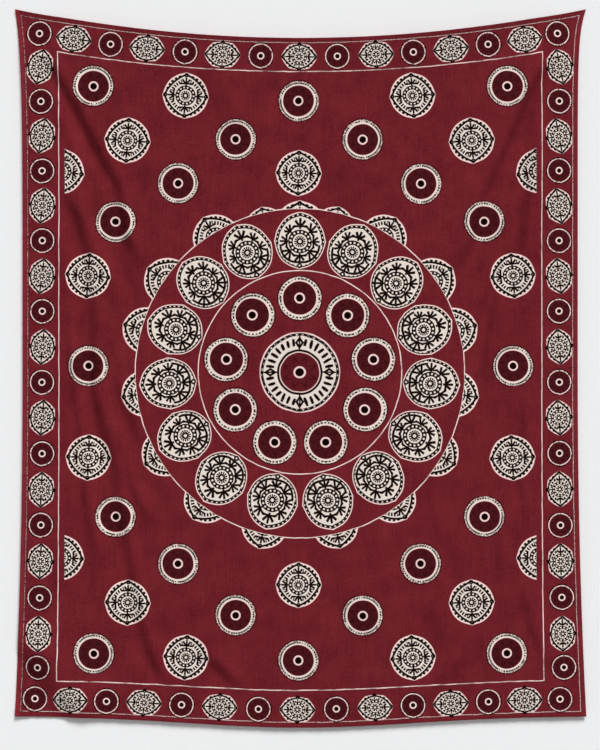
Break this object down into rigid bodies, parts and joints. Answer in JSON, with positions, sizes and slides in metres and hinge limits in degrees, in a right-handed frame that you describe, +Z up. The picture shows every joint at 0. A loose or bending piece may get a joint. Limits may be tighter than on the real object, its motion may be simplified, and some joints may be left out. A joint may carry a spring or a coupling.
{
  "type": "block print cotton sheet",
  "caption": "Thin printed cotton sheet hung flat by its top corners, with a sagging top edge, sides that bow in, soft folds fanning down from the corners and a narrow doubled hem all round.",
  "frame": {"origin": "middle of the top edge, in the plane of the wall behind the cloth", "axes": "+X across the sheet, to the viewer's right; +Y into the wall behind, so the printed face looks along -Y; +Z up"},
  "size_m": [2.184, 0.0413, 2.746],
  "materials": {
    "printed_cotton": "matte plain-weave cotton, dyed deep red, with cream and black hand block print"
  },
  "bodies": {
    "root": {"sheet": "printed_cotton"}
  },
  "joints": []
}
